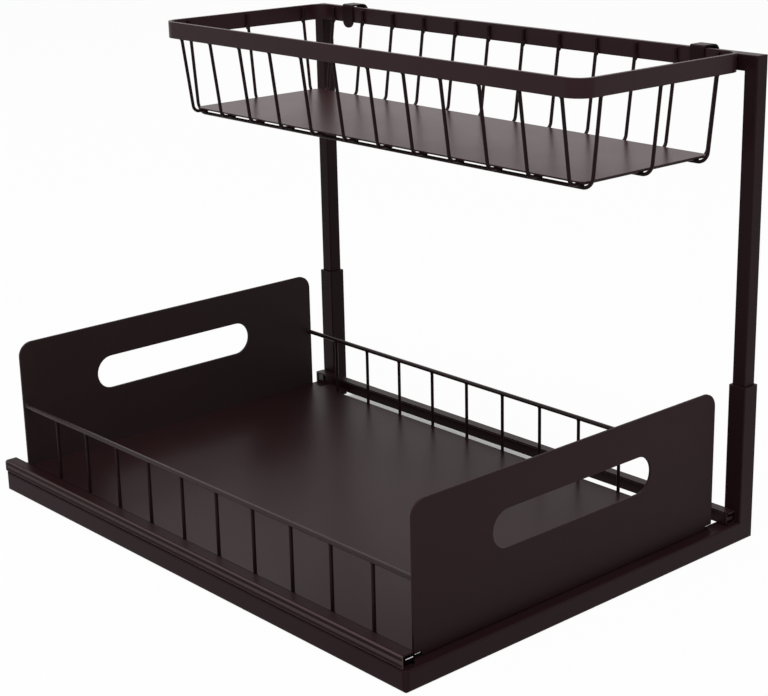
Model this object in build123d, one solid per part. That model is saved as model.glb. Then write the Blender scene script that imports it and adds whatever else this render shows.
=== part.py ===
from build123d import *
import os

os.makedirs("parts", exist_ok=True)

# Pull-out cabinet basket. Millimetres, +Z up, standing on z = 0.
# The tray pulls out towards -Y, the posts stand on the +X side.

# Overall sizes
rack_length = 420.0
rack_width = 303.0
crossbar_top = 313.0

# Base and sleeves, square tube; the base is open on the +X side
base_tube = 13.0
base_wall = 1.5
base_edge = 1.2
base_corner = 3.5
sleeve_wall = 1.2
sleeve_top = 104.5
tube_edge = 0.8

# Upper frame, smaller square tube in the sleeves
post_tube = 10.0
post_wall = 1.0
post_depth = 40.0
stop_height = 6.0
stop_gap = 0.2

# Slide rails: the left one lies on the side tube, the right one bridges the foot tubes
channel_width = 8.5
channel_height = 8.5
channel_wall = 1.0
channel_edge = 1.8
channel_groove = 0.4
channel_groove_height = 2.4
channel_front_setback = 3.0
channel_rear_setback = 2.0
cap_plug = 6.0
cap_fit = 0.15
cap_edge = 0.8

# Sliding runner
runner_gap = 0.2
runner_web = 1.0
ball_fit = 0.1
tongue_tip_gap = 2.0
tongue_edge = 1.0
runner_edge_gap = 0.6
runner_front_overhang = 4.5
runner_rear_gap = 6.0

# Ball cage
ball_size = 1.8
ball_hole = 2.2
ball_pitch = 40.0
ball_count = 3
ball_past_middle = 1.0
cage_length = 110.0
cage_sheet = 0.5
cage_depth = 5.2
cage_wall_gap = 0.7

# Pull-out tray, its floor tied to the runners by tabs near the corners
left_tab_reach = 3.5
right_tab_reach = 9.5
tab_length = 22.0
tab_inset = 10.5
tray_gap = 0.5
tray_sheet = 1.0
floor_edge = 0.6
edge_turn_inset = 16.0
floor_top = 16.0
panel_top = 105.5
panel_sheet = 1.5
panel_face_inset = 8.0
panel_side_gap = 0.3
panel_corner = 10.0
panel_flange = 14.0
panel_flange_inset = 24.0
relief_width = 6.0
relief_top = 16.0
slot_length = 135.0
slot_height = 24.0
slot_middle = 69.0
fence_wire = 3.2
fence_bar = 2.3
fence_height = 60.0
fence_inset = 2.6
fence_bars = 10
fence_shift = 2.5

# Upper basket
rim_width = 145.6
rim_end_gap = 10.8
rim_height = 11.3
rim_sheet = 2.5
rim_corner = 12.0
rim_rise = 1.5
rim_gap = 0.3
basket_wire = 2.3
wire_flats = 6
hoop_bottom = 251.0
hoop_lean = 7.6
hoop_bend = 9.0
hoop_end_gap = 17.7
hoop_count = 12
weld_run = 7.0
weld_drop = 1.5
lean_bend = 14.0
end_lean = 6.0
end_bend = 8.0
long_inset = 10.0
basket_sheet = 1.0
sheet_side_gap = 9.0
sheet_end_gap = 8.8
sheet_corner = 3.0

# Hooks of the upper basket
hook_sheet = 1.2
hook_width = 11.0
hook_inset = 34.2
hook_drop = 4.0
hook_lip = 9.0
hook_bend = 4.0
hook_rim_bend = 0.3
hook_head = 0.5
hook_end_round = 5.0

# Derived places
half_length = rack_length / 2
half_width = rack_width / 2
post_inset = (base_tube - post_tube) / 2
rail_bottom = base_tube
rail_middle = rail_bottom + channel_height / 2
left_rail_x = -half_width
right_rail_x = half_width - base_tube
rail_front = -half_length + channel_front_setback
rail_rear = half_length - channel_rear_setback
race_half = channel_height / 2 - channel_wall
tongue_half = race_half - ball_size - 2 * ball_fit
web_reach = channel_width + runner_gap + runner_web
tray_left = left_rail_x + web_reach + left_tab_reach
tray_right = right_rail_x - web_reach - right_tab_reach
tray_middle = (tray_left + tray_right) / 2
tray_width = tray_right - tray_left
panel_face = half_length - panel_face_inset
panel_inner = panel_face - panel_sheet
panel_bottom = base_tube + tray_gap
runner_front = -panel_face - runner_front_overhang
runner_rear = rail_rear - cap_plug - runner_rear_gap
fence_pitch = 2 * panel_inner / (fence_bars + 1)
rim_top = crossbar_top + rim_rise
rim_bottom = rim_top - rim_height
rim_back = half_width - post_inset - post_tube - rim_gap
rim_front = rim_back - rim_width
rim_middle = (rim_back + rim_front) / 2
rim_half_length = half_length - rim_end_gap
hoop_pitch = 2 * (rim_half_length - hoop_end_gap) / (hoop_count - 1)
hook_place = rim_half_length - hook_inset


def save(shape, node):
    export_step(shape, "parts/" + node + ".step")


def tube_profile(size, wall, edge):
    outer = RectangleRounded(size, size, edge)
    inner = Rectangle(size - 2 * wall, size - 2 * wall)
    return outer - inner


def tube_along_y(size, wall, edge, x, z, y_from, y_to):
    plane = Plane(origin=(x, y_from, z), x_dir=(1, 0, 0), z_dir=(0, 1, 0))
    return extrude(plane * tube_profile(size, wall, edge), y_to - y_from)


def tube_along_x(size, wall, edge, y, z, x_from, x_to):
    plane = Plane(origin=(x_from, y, z), x_dir=(0, 1, 0), z_dir=(1, 0, 0))
    return extrude(plane * tube_profile(size, wall, edge), x_to - x_from)


def tube_along_z(size, wall, edge, x, y, z_from, z_to):
    plane = Plane(origin=(x, y, z_from))
    return extrude(plane * tube_profile(size, wall, edge), z_to - z_from)


def beside(shape, corner, direction, across):
    # keeps the side of a mitre plane through corner that direction points to
    normal = Vector(direction)
    plane = Plane(origin=corner, x_dir=across, z_dir=normal)
    return split(shape, bisect_by=plane, keep=Keep.TOP)


def base_outline():
    # the base's plan, with the corners of its side tube rounded
    sheet = Rectangle(rack_width, rack_length)
    tube_corners = sheet.vertices().group_by(Axis.X)[0]
    sheet = fillet(tube_corners, base_corner)
    return extrude(sheet, base_tube)


def left_side_tube():
    x = -half_width + base_tube / 2
    tube = tube_along_y(base_tube, base_wall, base_edge, x, base_tube / 2, -half_length, half_length)
    for side in (-1, 1):
        corner = (-half_width, side * half_length, 0)
        tube = beside(tube, corner, (-1, -side, 0), (0, 0, 1))
    return tube & base_outline()


def foot_tube(side):
    y = side * (half_length - base_tube / 2)
    tube = tube_along_x(base_tube, base_wall, base_edge, y, base_tube / 2, -half_width, half_width)
    tube = beside(tube, (-half_width, side * half_length, 0), (1, side, 0), (0, 0, 1))
    tube = beside(tube, (half_width, 0, 0), (-1, 0, -1), (0, 1, 0))
    return tube & base_outline()


def post_sleeve(side):
    x = half_width - base_tube / 2
    y = side * (half_length - base_tube / 2)
    sleeve = tube_along_z(base_tube, sleeve_wall, tube_edge, x, y, 0, sleeve_top)
    return beside(sleeve, (half_width, 0, 0), (1, 0, 1), (0, 1, 0))


def sleeve_stops():
    # plugs welded inside the sleeves, which carry the posts
    size = base_tube - 2 * sleeve_wall
    x = half_width - base_tube / 2
    z = sleeve_top - post_depth - stop_gap - stop_height / 2
    stops = []
    for side in (-1, 1):
        y = side * (half_length - base_tube / 2)
        stops.append(Pos(x, y, z) * Box(size, size, stop_height))
    return Compound(children=stops)


def rail_plane(side, y):
    # section plane of a rail: local x runs inboard from the rail's outer face
    x = left_rail_x if side < 0 else right_rail_x
    return Plane(origin=(x, y, rail_bottom), x_dir=(-side, 0, 0), z_dir=(0, side, 0))


def rail_run(side, section, y_from, y_to):
    # extrudes a rail section along the pull
    start = y_from if side > 0 else y_to
    return extrude(rail_plane(side, start) * section, y_to - y_from)


def channel_section():
    # open inboard, with a shallow groove along the outer face between the two ball races
    outer = Pos(channel_width / 2, channel_height / 2) * Rectangle(channel_width, channel_height)
    outer = fillet(outer.vertices().group_by(Axis.X)[0], channel_edge)
    hollow = Pos(channel_wall + channel_width / 2, channel_height / 2) * Rectangle(channel_width, 2 * race_half)
    hollow = fillet(hollow.vertices().group_by(Axis.X)[0], channel_edge - channel_wall)
    groove = Pos(0, channel_height / 2) * Rectangle(2 * channel_groove, channel_groove_height)
    return outer - hollow - groove


def slide_channel(side):
    return rail_run(side, channel_section(), rail_front, rail_rear)


def channel_cap(side):
    # end cap of the channel: a rounded head and a plug that fits inside
    head = Pos(channel_width / 2, channel_height / 2) * Rectangle(channel_width, channel_height)
    head = fillet(head.vertices().group_by(Axis.X)[0], channel_edge)
    body = rail_run(side, head, rail_rear, half_length)
    end_edges = body.edges().group_by(Axis.Y)[-1]
    body = chamfer(end_edges, cap_edge)
    plug_height = channel_height - 2 * channel_wall - 2 * cap_fit
    plug_width = channel_width - 2 * channel_wall
    place = channel_wall + cap_fit + plug_width / 2
    plug = Pos(place, channel_height / 2) * RectangleRounded(plug_width, plug_height, channel_edge - channel_wall)
    return body + rail_run(side, plug, rail_rear - cap_plug, rail_rear)


def runner_section():
    web_x = channel_width + runner_gap + runner_web / 2
    web = Pos(web_x, channel_height / 2) * Rectangle(runner_web, channel_height - 2 * runner_edge_gap)
    tip = channel_wall + tongue_tip_gap
    root = channel_width + runner_gap
    tongue = Pos((tip + root) / 2, channel_height / 2) * Rectangle(root - tip, 2 * tongue_half)
    tongue = fillet(tongue.vertices().group_by(Axis.X)[0], tongue_edge)
    return web + tongue


def slide_runner(side):
    return rail_run(side, runner_section(), runner_front, runner_rear)


def ball_rise():
    # height of a ball row above and below the tongue's middle
    return (race_half + tongue_half) / 2


def ball_place():
    return channel_wall + cage_wall_gap + cage_depth / 2 + ball_past_middle


def ball_rows():
    places = []
    for level in (-1, 1):
        for index in range(ball_count):
            along = (index - (ball_count - 1) / 2) * ball_pitch
            places.append((along, rail_middle + level * ball_rise()))
    return places


def rail_x(side, inboard):
    outer = left_rail_x if side < 0 else right_rail_x
    return outer - side * inboard


def ball_cage(side):
    # thin strip bent round the runner's tongue, with a hole for each ball
    depth = cage_depth
    height = 2 * ball_rise() + cage_sheet
    left = channel_wall + cage_wall_gap
    outer = Pos(left + depth / 2, channel_height / 2) * Rectangle(depth, height)
    inner = Pos(left + cage_sheet + depth / 2, channel_height / 2) * Rectangle(depth, height - 2 * cage_sheet)
    cage = rail_run(side, outer - inner, -cage_length / 2, cage_length / 2)
    x = rail_x(side, ball_place())
    for index in range(ball_count):
        along = (index - (ball_count - 1) / 2) * ball_pitch
        plane = Plane(origin=(x, along, rail_bottom))
        cage -= extrude(plane * flat_sided(ball_hole), channel_height)
    return cage


def ball():
    # a ball cut as eighteen flats, each at the ball's radius
    block = Box(ball_size, ball_size, ball_size)
    return block & Rot(45, 0, 0) * block & Rot(0, 45, 0) * block & Rot(0, 0, 45) * block


def balls(side):
    x = rail_x(side, ball_place())
    return Compound(children=[Pos(x, y, z) * ball() for y, z in ball_rows()])


def floor_tab(side, end):
    # tongue of the floor sheet that reaches out to the runner's web
    edge = tray_left if side < 0 else tray_right
    reach = left_tab_reach if side < 0 else right_tab_reach
    width = reach + tray_sheet
    x = edge + side * (reach - width / 2)
    y = end * (panel_inner - tab_inset - tab_length / 2)
    return Pos(x, y, floor_top - tray_sheet / 2) * Box(width, tab_length, tray_sheet)


def tray_floor():
    # sheet with its long edges turned down between the tabs
    sheet = Box(tray_width, 2 * panel_inner, tray_sheet, align=(Align.CENTER, Align.CENTER, Align.MAX))
    floor = Pos(tray_middle, 0, floor_top) * sheet
    depth = floor_top - panel_bottom
    turned = 2 * (panel_inner - edge_turn_inset)
    for edge, turn in ((tray_left, 1), (tray_right, -1)):
        x = edge + turn * tray_sheet / 2
        floor += Pos(x, 0, floor_top - depth / 2) * Box(tray_sheet, turned, depth)
    long_edges = floor.edges().filter_by(Axis.Y).group_by(Axis.Z)[-1]
    floor = fillet(long_edges, floor_edge)
    for side in (-1, 1):
        for end in (-1, 1):
            floor += floor_tab(side, end)
    return floor


def handle_panel(side):
    width = tray_width - 2 * panel_side_gap
    height = panel_top - panel_bottom
    outline = Rectangle(width, height)
    outline = fillet(outline.vertices().group_by(Axis.Y)[-1], panel_corner)
    outline = Pos(0, panel_bottom + height / 2) * outline
    outline -= Pos(0, slot_middle) * SlotOverall(slot_length, slot_height)
    for turn in (-1, 1):
        relief = Rectangle(2 * relief_width, 2 * (relief_top - panel_bottom))
        outline -= Pos(turn * width / 2, panel_bottom) * relief
    plane = Plane(origin=(tray_middle, side * panel_face, 0), x_dir=(-side, 0, 0), z_dir=(0, side, 0))
    plate = extrude(plane * outline, -panel_sheet)
    # lower edge turned in under the tray floor
    foot_depth = floor_top - tray_sheet - panel_bottom
    foot = Box(width - 2 * panel_flange_inset, panel_flange + panel_sheet, foot_depth)
    y = side * (panel_face - (panel_flange + panel_sheet) / 2)
    return plate + Pos(tray_middle, y, panel_bottom + foot_depth / 2) * foot


def fence_x(side):
    edge = tray_left if side < 0 else tray_right
    return edge - side * fence_inset


def fence_top_wire(side):
    plane = Plane(origin=(fence_x(side), -panel_inner, fence_height), z_dir=(0, 1, 0))
    return extrude(plane * Circle(fence_wire / 2), 2 * panel_inner)


def fence_bars_of(side):
    # both fences are the same piece, one turned end for end
    top = fence_height - fence_wire / 2
    bars = []
    for index in range(fence_bars):
        y = (index - (fence_bars - 1) / 2) * fence_pitch + side * fence_shift
        plane = Plane(origin=(fence_x(side), y, floor_top))
        bars.append(extrude(plane * flat_sided(fence_bar), top - floor_top))
    return Compound(children=bars)


def post(side):
    x = half_width - base_tube / 2
    y = side * (half_length - base_tube / 2)
    tube = tube_along_z(post_tube, post_wall, tube_edge, x, y, sleeve_top - post_depth, crossbar_top)
    corner = (0, side * (half_length - post_inset), crossbar_top)
    return beside(tube, corner, (0, side, -1), (1, 0, 0))


def crossbar():
    x = half_width - base_tube / 2
    z = crossbar_top - post_tube / 2
    reach = half_length - post_inset
    tube = tube_along_y(post_tube, post_wall, tube_edge, x, z, -reach, reach)
    for side in (-1, 1):
        tube = beside(tube, (0, side * reach, crossbar_top), (0, -side, 1), (1, 0, 0))
    return tube


def basket_rim():
    outer = RectangleRounded(rim_width, 2 * rim_half_length, rim_corner)
    inner_corner = rim_corner - rim_sheet
    inner = RectangleRounded(rim_width - 2 * rim_sheet, 2 * (rim_half_length - rim_sheet), inner_corner)
    return extrude(Pos(rim_middle, 0, rim_bottom) * (outer - inner), rim_height)


def flat_sided(size):
    # a round of that size cut as flats, two of them square to local x
    return Rot(0, 0, 180 / wire_flats) * RegularPolygon(size / 2, wire_flats, major_radius=False)


def bent_wire(points, radii, size, across):
    # across is square to the flats that lie against the neighbours
    path = FilletPolyline(*points, radius=radii)
    start = Plane(origin=path @ 0, x_dir=across, z_dir=path % 0)
    return sweep(start * flat_sided(size), path=path)


def hoop_points(y):
    near = rim_front + rim_sheet + basket_wire / 2
    far = rim_back - rim_sheet - basket_wire / 2
    top = rim_top - weld_drop
    weld = top - weld_run
    corner = hoop_bottom
    return [
        (near, y, top),
        (near, y, weld),
        (near + hoop_lean, y, corner),
        (far - hoop_lean, y, corner),
        (far, y, weld),
        (far, y, top),
    ]


def basket_hoop(index):
    y = (index - (hoop_count - 1) / 2) * hoop_pitch
    bends = [lean_bend, hoop_bend, hoop_bend, lean_bend]
    return bent_wire(hoop_points(y), bends, basket_wire, (1, 0, 0))


def long_wire_x(index):
    low = rim_front + rim_sheet + basket_wire / 2 + hoop_lean + long_inset
    high = rim_back - rim_sheet - basket_wire / 2 - hoop_lean - long_inset
    return low + (high - low) * index / 2


def basket_long_wire(index):
    x = long_wire_x(index)
    end = rim_half_length - rim_sheet - basket_wire / 2
    top = rim_top - weld_drop
    weld = top - weld_run
    low = hoop_bottom - basket_wire
    points = [
        (x, -end, top),
        (x, -end, weld),
        (x, -end + end_lean, low),
        (x, end - end_lean, low),
        (x, end, weld),
        (x, end, top),
    ]
    bends = [lean_bend, end_bend, end_bend, lean_bend]
    return bent_wire(points, bends, basket_wire, (0, 1, 0))


def basket_floor():
    width = rim_width - 2 * (rim_sheet + basket_wire / 2 + hoop_lean + sheet_side_gap)
    length = 2 * (rim_half_length - rim_sheet - basket_wire / 2 - sheet_end_gap)
    plane = Plane(origin=(rim_middle, 0, hoop_bottom + basket_wire / 2))
    return extrude(plane * RectangleRounded(width, length, sheet_corner), basket_sheet)


def hook(side):
    # strap over the crossbar, its inner leg welded to the rim
    inner_face = rim_back - rim_sheet
    outer_face = half_width - hook_sheet
    head = rim_top + hook_head
    leg_end = rim_bottom - hook_drop
    lip_end = crossbar_top - hook_lip
    line = FilletPolyline(
        (inner_face - hook_sheet / 2, 0, leg_end),
        (inner_face - hook_sheet / 2, 0, head + hook_sheet / 2),
        (outer_face + hook_sheet / 2, 0, head + hook_sheet / 2),
        (outer_face + hook_sheet / 2, 0, lip_end),
        radius=[hook_rim_bend + hook_sheet / 2, hook_bend + hook_sheet / 2],
    )
    start = Plane(origin=line @ 0, x_dir=(1, 0, 0), z_dir=(0, 0, 1))
    strap = sweep(start * Rectangle(hook_sheet, hook_width), path=line)
    lowest = strap.edges().filter_by(Axis.X).sort_by(Axis.Z)[:2]
    strap = fillet(lowest, hook_end_round)
    return Pos(0, side * hook_place, 0) * strap


sides = (("left", -1), ("right", 1))
ends = (("front", -1), ("rear", 1))

save(left_side_tube(), "left_side_tube")
save(sleeve_stops(), "sleeve_stops")
for name, end in ends:
    save(foot_tube(end), name + "_foot_tube")
    save(post_sleeve(end), name + "_post_sleeve")
    save(handle_panel(end), name + "_handle_panel")
    save(post(end), name + "_post")
    save(hook(end), name + "_hook")

for name, hand in sides:
    save(slide_channel(hand), name + "_slide_channel")
    save(channel_cap(hand), name + "_channel_cap")
    save(slide_runner(hand), name + "_slide_runner")
    save(ball_cage(hand), name + "_ball_cage")
    save(balls(hand), name + "_balls")
    save(fence_top_wire(hand), name + "_fence_top_wire")
    save(fence_bars_of(hand), name + "_fence_bars")

save(tray_floor(), "tray_floor")
save(crossbar(), "crossbar")
save(basket_rim(), "basket_rim")
for number in range(hoop_count):
    save(basket_hoop(number), "basket_hoop_" + str(number + 1))
for number in range(3):
    save(basket_long_wire(number), "basket_long_wire_" + str(number + 1))
save(basket_floor(), "basket_floor")
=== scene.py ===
import bpy
import math
from mathutils import Matrix, Vector


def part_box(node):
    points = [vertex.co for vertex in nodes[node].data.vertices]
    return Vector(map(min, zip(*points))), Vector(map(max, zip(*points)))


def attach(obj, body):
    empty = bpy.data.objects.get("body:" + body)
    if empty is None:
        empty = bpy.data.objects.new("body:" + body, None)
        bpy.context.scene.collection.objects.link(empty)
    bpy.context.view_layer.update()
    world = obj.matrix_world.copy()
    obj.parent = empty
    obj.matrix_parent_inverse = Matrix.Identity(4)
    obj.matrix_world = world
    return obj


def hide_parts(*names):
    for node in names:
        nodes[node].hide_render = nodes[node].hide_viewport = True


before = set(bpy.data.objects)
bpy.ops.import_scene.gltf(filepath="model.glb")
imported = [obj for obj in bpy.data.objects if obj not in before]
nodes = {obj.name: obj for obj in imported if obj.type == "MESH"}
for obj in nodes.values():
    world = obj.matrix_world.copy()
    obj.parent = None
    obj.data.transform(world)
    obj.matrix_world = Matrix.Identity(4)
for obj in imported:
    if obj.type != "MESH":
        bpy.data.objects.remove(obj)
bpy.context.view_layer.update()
print("frame loaded,", len(nodes), "nodes")


class Link:
    # wraps one output socket so that shader maths reads as plain maths
    def __init__(self, tree, socket):
        self.tree = tree
        self.socket = socket

    def maths(self, kind, first, second):
        node = self.tree.nodes.new("ShaderNodeMath")
        node.operation = kind
        for place, value in zip(node.inputs, (first, second)):
            if isinstance(value, Link):
                self.tree.links.new(value.socket, place)
            else:
                place.default_value = value
        return Link(self.tree, node.outputs[0])

    def __add__(self, other):
        return self.maths("ADD", self, other)

    def __radd__(self, other):
        return self.maths("ADD", other, self)

    def __sub__(self, other):
        return self.maths("SUBTRACT", self, other)

    def __rsub__(self, other):
        return self.maths("SUBTRACT", other, self)

    def __mul__(self, other):
        return self.maths("MULTIPLY", self, other)

    def __rmul__(self, other):
        return self.maths("MULTIPLY", other, self)

    def __gt__(self, other):
        return self.maths("GREATER_THAN", self, other)


surface = {"bumpDepth": 0.0001, "edgeSamples": 6, "alongRail": (1.0, 0.02, 1.0)}


class Finish:
    # the node tree of one material or world
    def __init__(self, owner, output="ShaderNodeOutputMaterial"):
        self.owner = owner
        owner.use_nodes = True
        self.tree = owner.node_tree
        self.tree.nodes.clear()
        self.out = self.tree.nodes.new(output)

    def add(self, kind, settings=None, **values):
        # values are named after their sockets, where at3 is the socket at index 3
        node = self.tree.nodes.new(kind)
        for key, value in (settings or {}).items():
            setattr(node, key, value)
        for key, value in values.items():
            socket = int(key[2:]) if key.startswith("at") else key.replace("_", " ")
            if isinstance(value, Link):
                self.tree.links.new(value.socket, node.inputs[socket])
            else:
                node.inputs[socket].default_value = value
        return node

    def take(self, node, output=0):
        return Link(self.tree, node.outputs[output])

    def objectPoint(self):
        return self.take(self.add("ShaderNodeTexCoord"), "Object")

    def axes(self, point):
        split = self.add("ShaderNodeSeparateXYZ", Vector=point)
        return [self.take(split, axis) for axis in range(3)]

    def noise(self, point, scale, detail, rough):
        node = self.add("ShaderNodeTexNoise", Vector=point, Scale=scale, Detail=detail,
                        Roughness=rough)
        return self.take(node)

    def cloud(self, point, scale):
        # soft uneven patches
        return self.noise(point, scale, detail=3.0, rough=0.6)

    def peel(self, point, scale):
        # the orange peel of a baked coat
        return self.noise(point, scale, detail=2.0, rough=0.5)

    def drawn(self, point, scale):
        # fine streaks along the rail
        stretched = self.add("ShaderNodeMapping", Vector=point, Scale=surface["alongRail"])
        return self.noise(self.take(stretched), scale, detail=3.0, rough=0.6)

    def mixed(self, amount, first, second):
        colours = {"data_type": "RGBA"}
        return self.take(self.add("ShaderNodeMix", colours, at0=amount, at6=first, at7=second), 2)

    def bump(self, height, strength, under):
        node = self.add("ShaderNodeBump", Height=height, Strength=strength,
                        Distance=surface["bumpDepth"], Normal=under)
        return self.take(node)

    def roundedEdge(self, radius):
        samples = {"samples": surface["edgeSamples"]}
        return self.take(self.add("ShaderNodeBevel", samples, Radius=radius))

    def edgeMask(self, rounded, gain):
        # 1 where the rounded normal turns away from the flat face, 0 on the face itself
        flat = self.take(self.add("ShaderNodeNewGeometry"), "Normal")
        dot = {"operation": "DOT_PRODUCT"}
        agree = self.take(self.add("ShaderNodeVectorMath", dot, at0=rounded, at1=flat), 1)
        turned = (1.0 - agree) * gain
        return turned.maths("MINIMUM", turned, 1.0)

    def band(self, value, low, high, softLow, softHigh):
        # 1 between low and high, fading to 0 over the soft distance beyond each of them
        smooth = {"interpolation_type": "SMOOTHSTEP"}
        enter = self.add("ShaderNodeMapRange", smooth, at0=value, at1=low - softLow, at2=low)
        leave = self.add("ShaderNodeMapRange", smooth, at0=value, at1=high, at2=high + softHigh)
        return self.take(enter) * (1.0 - self.take(leave))

    def close(self, shader):
        self.tree.links.new(shader.outputs[0], self.out.inputs["Surface"])
        return self.owner


def newFinish(name):
    return Finish(bpy.data.materials.new(name))


def rgb(red, green, blue):
    return (red, green, blue, 1.0)


def shades(f, amount, look):
    return f.mixed(amount, rgb(*look["dark"]), rgb(*look["light"]))


def powderCoat(name, look):
    # baked-on powder: orange peel, fine sand and cloudy gloss, with a painted highlight along the
    # edges; where asked, painted shade low down and a painted highlight line on the rail's corner
    f = newFinish(name)
    point = f.objectPoint()
    cloud = f.cloud(point, look["cloudScale"])
    peel = f.peel(point, look["peelScale"])
    sand = f.noise(point, look["sandScale"], detail=1.0, rough=0.5)
    rounded = f.roundedEdge(look["edge"])
    edge = f.edgeMask(rounded, look["edgeGain"])
    tone = cloud
    if "lowShade" in look:
        # painted shade: the coat gets darker from one height down to another, towards the ground
        low, high = look["lowShade"]
        height = f.axes(point)[2]
        rise = f.take(f.add("ShaderNodeMapRange", at0=height, at1=low, at2=high, at3=0.0, at4=1.0))
        tone = cloud * (1.0 - look["lowShadeShare"]) + rise * look["lowShadeShare"]
    colour = shades(f, tone, look)
    # painted highlight: a lighter colour along the edges, in place of the gloss they catch
    colour = f.mixed(edge * look["edgeHighlightShow"], colour, rgb(*look["edgeHighlightColour"]))
    if "cornerHighlight" in look:
        # a painted highlight: a lighter line along the rail's outer top corner
        across = f.axes(point)[0]
        colour = f.mixed(f.band(across, *look["cornerHighlight"]), colour, rgb(*look["cornerHighlightColour"]))
    rough = look["rough"] + (cloud - 0.5) * look["cloudSpread"]
    rough = rough + (sand - 0.5) * look["sandSpread"] - edge * look["edgeSmooth"]
    height = peel * look["peelShare"] + sand * (1.0 - look["peelShare"])
    skin = f.bump(height, look["bump"], rounded)
    shader = f.add("ShaderNodeBsdfPrincipled", Base_Color=colour, Roughness=rough, Normal=skin)
    shader.inputs["IOR"].default_value = look["ior"]
    return f.close(shader)


def drawnSteel(name, look):
    # bare steel, drawn along the rail
    f = newFinish(name)
    point = f.objectPoint()
    streak = f.drawn(point, look["streakScale"])
    cloud = f.cloud(point, look["cloudScale"])
    rough = look["rough"] + (streak - 0.5) * look["streakSpread"]
    rough = rough + (cloud - 0.5) * look["cloudSpread"]
    skin = f.bump(streak, look["bump"], f.roundedEdge(look["edge"]))
    shader = f.add("ShaderNodeBsdfPrincipled", Base_Color=shades(f, cloud, look), Roughness=rough,
                   Normal=skin)
    shader.inputs["Metallic"].default_value = 1.0
    return f.close(shader)


def coatedRunner(name, coat, steel, bounds):
    # black web, plated tongue between the balls; the tongue's front face is black too, but on the
    # left runner it carries a painted glint, a bright metal patch near its top
    f = newFinish(name)
    point = f.objectPoint()
    across, along, height = f.axes(point)
    offset = across - bounds["middle"]
    tongue = offset.maths("ABSOLUTE", offset, 0.0) > bounds["reach"]
    behind = along > bounds["front"]
    # painted glint: a bright metal patch at the top of the left runner's front face
    glintPatch = (height > bounds["glintAbove"]) * (bounds["middle"] - across > bounds["reach"])
    plateAndGlint = tongue * behind.maths("MAXIMUM", behind, glintPatch)
    cloud = f.cloud(point, coat["cloudScale"])
    peel = f.peel(point, coat["peelScale"])
    streak = f.drawn(point, steel["streakScale"])
    colour = f.mixed(plateAndGlint, shades(f, cloud, coat), shades(f, cloud, steel))
    rough = coat["rough"] + plateAndGlint * (steel["rough"] - coat["rough"])
    rough = rough + (streak - 0.5) * steel["streakSpread"]
    skin = peel * (1.0 - plateAndGlint) + streak * plateAndGlint
    skin = f.bump(skin, steel["bump"], f.roundedEdge(steel["edge"]))
    shader = f.add("ShaderNodeBsdfPrincipled", Base_Color=colour, Roughness=rough, Metallic=plateAndGlint,
                   Normal=skin)
    shader.inputs["IOR"].default_value = coat["ior"]
    return f.close(shader)


def mouldedPlastic(name, look):
    # moulded cap with a fine spark-eroded skin
    f = newFinish(name)
    point = f.objectPoint()
    skin = f.noise(point, look["skinScale"], detail=2.0, rough=0.6)
    cloud = f.noise(point, look["cloudScale"], detail=2.0, rough=0.5)
    rough = look["rough"] + (skin - 0.5) * look["skinSpread"]
    bumpy = f.bump(skin, look["bump"], f.roundedEdge(look["edge"]))
    shader = f.add("ShaderNodeBsdfPrincipled", Base_Color=shades(f, cloud, look), Roughness=rough,
                   Normal=bumpy)
    return f.close(shader)


rimLook = {"dark": (0.0178, 0.0059, 0.0078), "light": (0.0230, 0.0081, 0.0104), "ior": 1.23,
           "rough": 0.36, "cloudSpread": 0.08, "sandSpread": 0.05, "edgeSmooth": 0.06,
           "cloudScale": 18.0, "peelScale": 800.0, "sandScale": 3200.0,
           "bump": 0.22, "peelShare": 0.7,
           "edge": 0.0006, "edgeGain": 4.0, "edgeHighlightShow": 0.4, "edgeHighlightColour": (0.045, 0.028, 0.032)}
tubeLook = dict(rimLook, dark=(0.0119, 0.0046, 0.0052), light=(0.0159, 0.0065, 0.0074), ior=1.15)
sideLook = dict(tubeLook, dark=(0.0137, 0.0049, 0.0073), light=(0.0181, 0.0070, 0.0096), ior=1.13)
# the left rail has a painted highlight line along its outer top corner
leftRailLook = dict(tubeLook, edge=0.0001, edgeHighlightShow=0.0, ior=1.10,
                    cornerHighlight=(-0.1512, -0.1507, 0.0003, 0.0003), cornerHighlightColour=(0.070, 0.047, 0.048))
rightRailLook = dict(tubeLook, edge=0.0001, edgeHighlightShow=0.0, ior=1.19)
# painted light: the rear panel, the same sheet as the front one, has a lighter coat to lift its
# inner face out of shade
rearPanelLitLook = dict(rimLook, dark=(0.0200, 0.0119, 0.0119), light=(0.0259, 0.0159, 0.0156),
                     rough=0.50, ior=1.18)
# painted shade: the left runner's black coat is made far darker than the same coat on the right
# runner, for the shade in the gap beside the left rail
leftRunnerShadedLook = dict(tubeLook, dark=(0.0022, 0.0013, 0.0015), light=(0.0031, 0.0019, 0.0021),
                      ior=1.03)
# painted shade on the front panel: its coat darkens towards the ground
panelLook = dict(rimLook, dark=(0.0111, 0.0041, 0.0046), light=(0.0204, 0.0087, 0.0098),
                 rough=0.50, ior=1.18, lowShade=(0.018, 0.085), lowShadeShare=0.65)
trayLook = dict(rimLook, dark=(0.0144, 0.0062, 0.0070), light=(0.0196, 0.0086, 0.0095),
                rough=0.34, edge=0.0003, ior=1.16)
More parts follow.
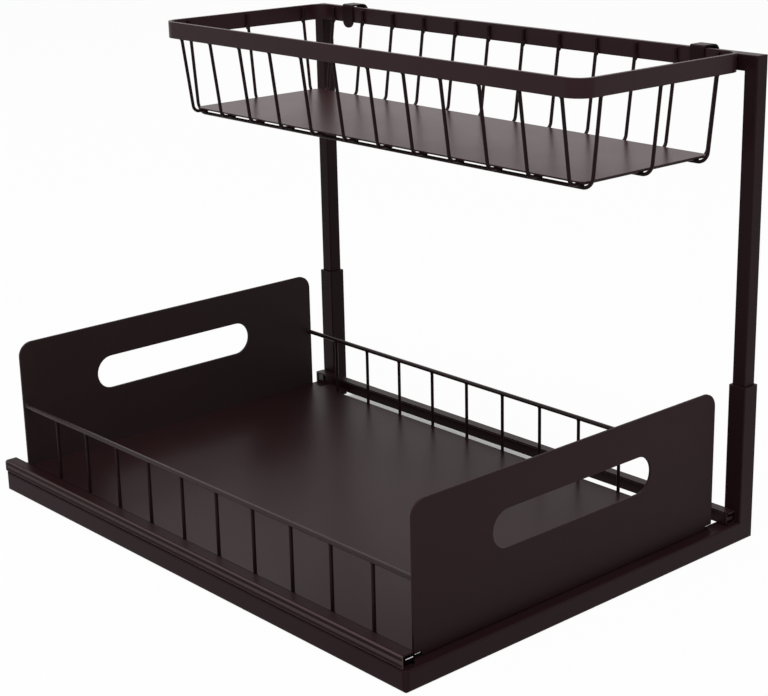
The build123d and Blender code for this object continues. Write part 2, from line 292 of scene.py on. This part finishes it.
# painted sheen: the basket floor's coat is made redder and lighter than the tray floor's, standing
# in for a reddish reflection at grazing angles
basketFloorSheenLook = dict(trayLook, dark=(0.0196, 0.0071, 0.0083), light=(0.0252, 0.0093, 0.0105),
                       rough=0.30, ior=1.195)
wireLook = dict(rimLook, dark=(0.0111, 0.0046, 0.0056), light=(0.0156, 0.0067, 0.0078),
                rough=0.38, edge=0.0002, ior=1.16)
topWireLook = dict(wireLook, ior=1.30)
hookLook = dict(rimLook, dark=(0.0111, 0.0043, 0.0052), light=(0.0148, 0.0059, 0.0070),
                edgeHighlightShow=0.15, ior=1.15)
zincLook = {"dark": (0.60, 0.60, 0.61), "light": (0.72, 0.72, 0.73), "rough": 0.24,
            "streakScale": 900.0, "streakSpread": 0.08, "cloudScale": 90.0, "bump": 0.15,
            "edge": 0.0002}
cageLook = dict(zincLook, dark=(0.42, 0.42, 0.42), light=(0.55, 0.55, 0.54), rough=0.34,
                streakSpread=0.12, cloudSpread=0.08, bump=0.12)
ballLook = dict(cageLook, dark=(0.70, 0.70, 0.70), light=(0.78, 0.78, 0.78), rough=0.10,
                edge=0.0004)
capLook = {"dark": (0.0119, 0.0074, 0.0089), "light": (0.0178, 0.0119, 0.0133), "rough": 0.5,
           "skinScale": 2600.0, "skinSpread": 0.1, "cloudScale": 120.0, "bump": 0.25,
           "edge": 0.0004}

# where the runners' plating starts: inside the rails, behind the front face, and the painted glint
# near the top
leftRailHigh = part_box("left_slide_channel")[1]
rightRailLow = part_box("right_slide_channel")[0]
railGap = rightRailLow.x - leftRailHigh.x
webClear = 0.0002
faceDepth = 0.0004
runnerBounds = {"middle": (leftRailHigh.x + rightRailLow.x) / 2,
                "reach": railGap / 2 - webClear,
                "front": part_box("left_slide_runner")[0].y + faceDepth,
                "glintAbove": 0.0180}

rimCoat = powderCoat("rimCoat", rimLook)
tubeCoat = powderCoat("tubeCoat", tubeLook)
sideCoat = powderCoat("sideCoat", sideLook)
leftRailCoat = powderCoat("leftRailCoat", leftRailLook)
rightRailCoat = powderCoat("rightRailCoat", rightRailLook)
hookCoat = powderCoat("hookCoat", hookLook)
panelCoat = powderCoat("panelCoat", panelLook)
rearPanelLitCoat = powderCoat("rearPanelLitCoat", rearPanelLitLook)
trayCoat = powderCoat("trayCoat", trayLook)
basketFloorCoat = powderCoat("basketFloorCoat", basketFloorSheenLook)
wireCoat = powderCoat("wireCoat", wireLook)
topWireCoat = powderCoat("topWireCoat", topWireLook)
leftRunnerCoat = coatedRunner("leftRunnerCoat", leftRunnerShadedLook, zincLook, runnerBounds)
rightRunnerCoat = coatedRunner("rightRunnerCoat", tubeLook, zincLook, runnerBounds)
cageSteel = drawnSteel("cageSteel", cageLook)
ballSteel = drawnSteel("ballSteel", ballLook)
capPlastic = mouldedPlastic("capPlastic", capLook)


def dress(names, material):
    for name in names:
        thing = nodes[name]
        thing.data.materials.clear()
        thing.data.materials.append(material)


ends = ("front", "rear")
hands = ("left", "right")
wireNames = [name for name in nodes if name.startswith(("basket_hoop", "basket_long"))]
dress([end + part for end in ends for part in ("_foot_tube", "_post_sleeve", "_post")], tubeCoat)
dress(["sleeve_stops", "crossbar"], tubeCoat)
dress(["left_side_tube"], sideCoat)
dress(["basket_rim"], rimCoat)
dress([end + "_hook" for end in ends], hookCoat)
dress(["left_slide_channel"], leftRailCoat)
dress(["right_slide_channel"], rightRailCoat)
dress(["front_handle_panel"], panelCoat)
dress(["rear_handle_panel"], rearPanelLitCoat)
dress(["tray_floor"], trayCoat)
dress(["basket_floor"], basketFloorCoat)
dress([hand + part for hand in hands for part in ("_fence_top_wire", "_fence_bars")], wireCoat)
dress(wireNames, wireCoat)
dress(["left_slide_runner"], leftRunnerCoat)
dress(["right_slide_runner"], rightRunnerCoat)
dress([hand + "_ball_cage" for hand in hands], cageSteel)
dress([hand + "_balls" for hand in hands], ballSteel)
dress([hand + "_channel_cap" for hand in hands], capPlastic)
print("finishes on the frame")


def deselect():
    bpy.ops.object.select_all(action="DESELECT")


def editAll():
    # into edit mode with the whole piece selected
    bpy.ops.object.mode_set(mode="EDIT")
    bpy.ops.mesh.select_all(action="SELECT")


def extrude(step):
    bpy.ops.mesh.extrude_region_move(TRANSFORM_OT_translate={"value": step})


def named(name):
    # names the piece just added and takes its place and size into its mesh
    piece = bpy.context.object
    piece.name = name
    piece.data.name = name
    bpy.ops.object.transform_apply(location=True, rotation=True, scale=True)
    return piece


def startRing(name, place, direction, size, sides):
    # a disc across the wire's first end, ready to be extruded
    deselect()
    turn = Vector((0, 0, 1)).rotation_difference(Vector(direction)).to_euler()
    bpy.ops.mesh.primitive_circle_add(vertices=sides, radius=size / 2, fill_type="NGON",
                                      location=place, rotation=turn)
    return named(name)


shell = {"mergeWithin": 0.00001, "smoothBelow": 40}


def closeShell():
    # leaves edit mode with the whole mesh merged and facing outwards
    bpy.ops.mesh.select_all(action="SELECT")
    bpy.ops.mesh.remove_doubles(threshold=shell["mergeWithin"])
    bpy.ops.mesh.normals_make_consistent(inside=False)
    bpy.ops.object.mode_set(mode="OBJECT")
    bpy.ops.object.shade_smooth_by_angle(angle=math.radians(shell["smoothBelow"]))


def bendWire(name, points, radii, look, steps):
    # a wire along straight runs and round bends, from its first end to its last
    points = [Vector(p) for p in points]
    first = (points[1] - points[0]).normalized()
    piece = startRing(name, points[0], first, look["size"], look["sides"])
    editAll()
    here = points[0]
    for index, radius in enumerate(radii):
        corner = points[index + 1]
        arriving = (corner - points[index]).normalized()
        leaving = (points[index + 2] - corner).normalized()
        turn = arriving.angle(leaving)
        reach = radius * math.tan(turn / 2)
        bendStart = corner - arriving * reach
        extrude(bendStart - here)
        axis = arriving.cross(leaving).normalized()
        centre = bendStart + axis.cross(arriving) * radius
        bpy.ops.mesh.spin(steps=steps[index], angle=-turn, center=centre, axis=axis)
        here = corner + leaving * reach
    extrude(points[-1] - here)
    closeShell()
    return piece


nugget = {"segments": 10, "rings": 6}


def weldNugget(name, place, size):
    # a small drop of melted metal where two pieces meet
    deselect()
    bpy.ops.mesh.primitive_uv_sphere_add(segments=nugget["segments"], ring_count=nugget["rings"],
                                         radius=0.5, location=place, scale=size)
    piece = named(name)
    bpy.ops.object.shade_smooth()
    return piece


def joinTo(piece, parts):
    deselect()
    for part in parts:
        part.select_set(True)
    piece.select_set(True)
    bpy.context.view_layer.objects.active = piece
    bpy.ops.object.join()


def copyMoved(piece, name, shift):
    twin = piece.copy()
    twin.data = piece.data.copy()
    twin.name = name
    twin.data.name = name
    twin.data.transform(Matrix.Translation(shift))
    bpy.context.scene.collection.objects.link(twin)
    return twin


def settle(piece, material, body, node):
    piece.data.materials.clear()
    piece.data.materials.append(material)
    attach(piece, body)
    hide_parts(node)


def middleOf(node, axis):
    low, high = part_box(node)
    return (low[axis] + high[axis]) / 2


basketWire = {"size": 0.0023, "sides": 14, "hoops": 12, "longWires": 3,
              "lean": 0.0076, "bend": 0.0050, "endLean": 0.006, "endBend": 0.008,
              "weldRun": 0.007, "leanBend": 0.014, "bendSteps": 9, "leanSteps": 3,
              "rimWeld": (0.0019, 0.0040, 0.0046), "weldRise": 0.0006,
              "crossWeld": (0.0034, 0.0034, 0.0012)}

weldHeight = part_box("basket_rim")[0].z + basketWire["weldRise"]


def bendBasketWire(name, near, far, top, bottom, lean, bend, place, look):
    # down from the rim, along the bottom and up again; place turns a reach and height to a point
    weld = top - look["weldRun"]
    route = [place(near, top), place(near, weld), place(near + lean, bottom),
             place(far - lean, bottom), place(far, weld), place(far, top)]
    radii = [look["leanBend"], bend, bend, look["leanBend"]]
    steps = [look["leanSteps"], look["bendSteps"], look["bendSteps"], look["leanSteps"]]
    return bendWire(name, route, radii, look, steps)


def repeatWire(first, stem, node, count, axis):
    # one copy of the first wire for each further solid of its kind
    for number in range(2, count + 1):
        shift = Vector((0, 0, 0))
        shift[axis] = middleOf(node + str(number), axis) - middleOf(node + "1", axis)
        twin = copyMoved(first, stem + str(number), shift)
        settle(twin, wireCoat, "basket", node + str(number))
    settle(first, wireCoat, "basket", node + "1")


def makeHoops(look):
    # across the basket, each leg welded inside the rim
    low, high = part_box("basket_hoop_1")
    half = look["size"] / 2
    y = middleOf("basket_hoop_1", 1)
    first = bendBasketWire("hoop1", low.x + half, high.x - half, high.z, low.z + half,
                           look["lean"], look["bend"], lambda x, z: (x, y, z), look)
    wide = look["rimWeld"][0] / 2
    welds = [weldNugget("rimWeld", (x, y, weldHeight), look["rimWeld"])
             for x in (low.x + wide, high.x - wide)]
    joinTo(first, welds)
    repeatWire(first, "hoop", "basket_hoop_", look["hoops"], axis=1)


def makeLongWires(look):
    # along the basket, welded to the rim's ends and to every hoop that they cross
    low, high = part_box("basket_long_wire_1")
    half = look["size"] / 2
    x = middleOf("basket_long_wire_1", 0)
    first = bendBasketWire("longWire1", low.y + half, high.y - half, high.z, low.z + half,
                           look["endLean"], look["endBend"], lambda y, z: (x, y, z), look)
    wide = look["rimWeld"][0] / 2
    turned = (look["rimWeld"][1], look["rimWeld"][0], look["rimWeld"][2])
    welds = [weldNugget("rimWeld", (x, y, weldHeight), turned)
             for y in (low.y + wide, high.y - wide)]
    for number in range(1, look["hoops"] + 1):
        hoop = "basket_hoop_" + str(number)
        crossing = (x, middleOf(hoop, 1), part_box(hoop)[0].z)
        welds.append(weldNugget("crossWeld", crossing, look["crossWeld"]))
    joinTo(first, welds)
    repeatWire(first, "longWire", "basket_long_wire_", look["longWires"], axis=0)


basketSheet = {"reach": 0.0038, "corner": 0.0045, "cornerSteps": 6}


def makeBasketFloor(look):
    # the sheet in the basket, carried out to where the hoops start to rise
    low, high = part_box("basket_floor")
    middle = (low + high) / 2
    deselect()
    size = (high.x - low.x + 2 * look["reach"], high.y - low.y, 1)
    bpy.ops.mesh.primitive_plane_add(size=1, location=(middle.x, middle.y, low.z))
    bpy.ops.transform.resize(value=size)
    piece = named("basketFloorSheet")
    editAll()
    bpy.ops.mesh.bevel(offset=look["corner"], segments=look["cornerSteps"], affect="VERTICES")
    bpy.ops.mesh.select_all(action="SELECT")
    extrude((0, 0, high.z - low.z))
    closeShell()
    settle(piece, basketFloorCoat, "basket", "basket_floor")


makeHoops(basketWire)
makeLongWires(basketWire)
makeBasketFloor(basketSheet)
print("basket wires bent")


fence = {"bar": 0.0023, "barSides": 14, "bars": 10, "cadFlats": 6, "collar": 1.5,
         "collarHeight": 0.0006, "headSpread": 1.25, "sunk": 0.0006,
         "topWire": 0.0032, "topSides": 18, "endWeld": (0.0041, 0.0012, 0.0041)}


def growTo(centre, lift, scale):
    # in edit mode: extrudes the selected end by lift and scales it about the wire's axis
    extrude((0, 0, lift))
    bpy.ops.transform.resize(value=(scale, scale, scale), center_override=centre)


def makeFenceBars(hand, look):
    # one bar with a weld collar at its foot, repeated along the tray's edge
    low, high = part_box(hand + "_fence_bars")
    corner = look["bar"] / 2 / math.cos(math.pi / look["cadFlats"])
    x, y = (low.x + high.x) / 2, low.y + corner
    pitch = (high.y - low.y - 2 * corner) / (look["bars"] - 1)
    collar, collarHeight, sunk = look["collar"], look["collarHeight"], look["sunk"]
    shaft = high.z - low.z - 2 * collarHeight
    piece = startRing(hand + "FenceBars", (x, y, low.z), (0, 0, 1), look["bar"] * collar,
                      look["barSides"])
    editAll()
    growTo((x, y, low.z + collarHeight), collarHeight, 1 / collar)
    growTo((x, y, high.z - collarHeight), shaft, 1.0)
    growTo((x, y, high.z), collarHeight, look["headSpread"])
    growTo((x, y, high.z + sunk), sunk, 1.0)
    closeShell()
    row = piece.modifiers.new("row", "ARRAY")
    row.use_relative_offset = False
    row.use_constant_offset = True
    row.constant_offset_displace = (0, pitch, 0)
    row.count = look["bars"]
    bpy.ops.object.modifier_apply(modifier="row")
    settle(piece, wireCoat, "tray", hand + "_fence_bars")


def makeFenceTop(hand, look):
    # the round top wire, with a ring of weld where it butts against each panel
    low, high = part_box(hand + "_fence_top_wire")
    x, z = (low.x + high.x) / 2, (low.z + high.z) / 2
    piece = startRing(hand + "FenceTop", (x, low.y, z), (0, 1, 0), look["topWire"],
                      look["topSides"])
    editAll()
    extrude((0, high.y - low.y, 0))
    closeShell()
    thick = look["endWeld"][1] / 2
    welds = [weldNugget("endWeld", (x, y, z), look["endWeld"])
             for y in (low.y + thick, high.y - thick)]
    joinTo(piece, welds)
    settle(piece, topWireCoat, "tray", hand + "_fence_top_wire")


for hand in hands:
    makeFenceBars(hand, fence)
    makeFenceTop(hand, fence)
print("tray fences welded")


# the floor is lifted to white for the eye, less so in a soft patch beside the right rail
studio = {"floorSize": 12.0, "floorDrop": 0.0004, "floorColour": (0.70, 0.695, 0.70),
          "lift": 0.96, "shadeLift": 0.13, "ambient": 0.43, "mirrored": (1.0, 0.93, 0.935),
          "shadeAcross": (0.112, 0.157, 0.020, 0.012), "shadeAlong": (0.000, 0.190, 0.045, 0.012)}


def backgroundRays(f):
    # how far the background is seen directly, in gloss or through glass, and its colour there
    rays = f.add("ShaderNodeLightPath")
    glossy = f.take(rays, "Is Glossy Ray")
    seen = f.take(rays, "Is Camera Ray") + glossy + f.take(rays, "Is Transmission Ray")
    return seen, f.mixed(glossy, rgb(1, 1, 1), rgb(*studio["mirrored"]))


def whiteStage():
    deselect()
    bpy.ops.mesh.primitive_plane_add(size=studio["floorSize"],
                                     location=(0, 0, -studio["floorDrop"]))
    floor = named("studioFloor")
    f = newFinish("studioFloor")
    seen, white = backgroundRays(f)
    plain = f.add("ShaderNodeBsdfDiffuse", Color=rgb(*studio["floorColour"]))
    glow = f.add("ShaderNodeEmission", Color=white, Strength=1.0)
    x, y, z = f.axes(f.objectPoint())
    shade = f.band(x, *studio["shadeAcross"]) * f.band(y, *studio["shadeAlong"])
    lifted = studio["lift"] - shade * (studio["lift"] - studio["shadeLift"])
    lift = f.add("ShaderNodeMixShader", Fac=seen * lifted, at1=f.take(plain), at2=f.take(glow))
    floor.data.materials.append(f.close(lift))


def whiteWorld():
    f = Finish(bpy.data.worlds.new("studioWorld"), "ShaderNodeOutputWorld")
    seen, white = backgroundRays(f)
    strength = studio["ambient"] + seen * (1.0 - studio["ambient"])
    bpy.context.scene.world = f.close(f.add("ShaderNodeBackground", Color=white, Strength=strength))


lamps = {"keyLamp": {"place": (-0.7, -0.6, 2.4), "power": 46.0, "size": 1.8},
         "fillLamp": {"place": (-1.6, -1.8, 1.3), "power": 6.8, "size": 1.6},
         "backLamp": {"place": (0.8, 1.9, 1.9), "power": 8.0, "size": 1.4}}
lampAim = Vector((0, 0, 0.12))


def hangLamps():
    for name, lamp in lamps.items():
        bpy.ops.object.light_add(type="AREA", location=lamp["place"])
        light = bpy.context.object
        light.name = name
        light.data.energy = lamp["power"]
        light.data.size = lamp["size"]
        aim = lampAim - Vector(lamp["place"])
        light.rotation_euler = aim.to_track_quat("-Z", "Y").to_euler()


# camera from a perspective fit of the photograph; focal and centre are in the image's pixels
camera = {"place": (-0.71955, -0.85202, 0.46389), "azimuth": -43.063, "elevation": 17.286,
          "roll": -0.701, "focal": 1770.1, "centre": (445.06, 345.33), "image": (768, 696),
          "sensor": 36.0, "clipStart": 0.01}


def setCamera():
    turns = [math.radians(camera[key]) for key in ("azimuth", "elevation", "roll")]
    azimuth, elevation, roll = turns
    flat = math.cos(elevation)
    back = Vector((math.sin(azimuth) * flat, -math.cos(azimuth) * flat, math.sin(elevation)))
    right = Vector((0, 0, 1)).cross(back).normalized()
    up = back.cross(right)
    rolledRight = right * math.cos(roll) + up * math.sin(roll)
    rolledUp = up * math.cos(roll) - right * math.sin(roll)
    wide, tall = camera["image"]
    bpy.ops.object.camera_add(location=camera["place"])
    eye = bpy.context.object
    eye.rotation_euler = Matrix((rolledRight, rolledUp, back)).transposed().to_euler()
    eye.data.sensor_width = camera["sensor"]
    eye.data.lens = camera["focal"] * camera["sensor"] / wide
    eye.data.shift_x = (wide / 2 - camera["centre"][0]) / wide
    eye.data.shift_y = (camera["centre"][1] - tall / 2) / wide
    eye.data.clip_start = camera["clipStart"]
    bpy.context.scene.camera = eye


whiteStage()
whiteWorld()
hangLamps()
setCamera()
bpy.context.scene.view_settings.view_transform = "Standard"
print("studio set")
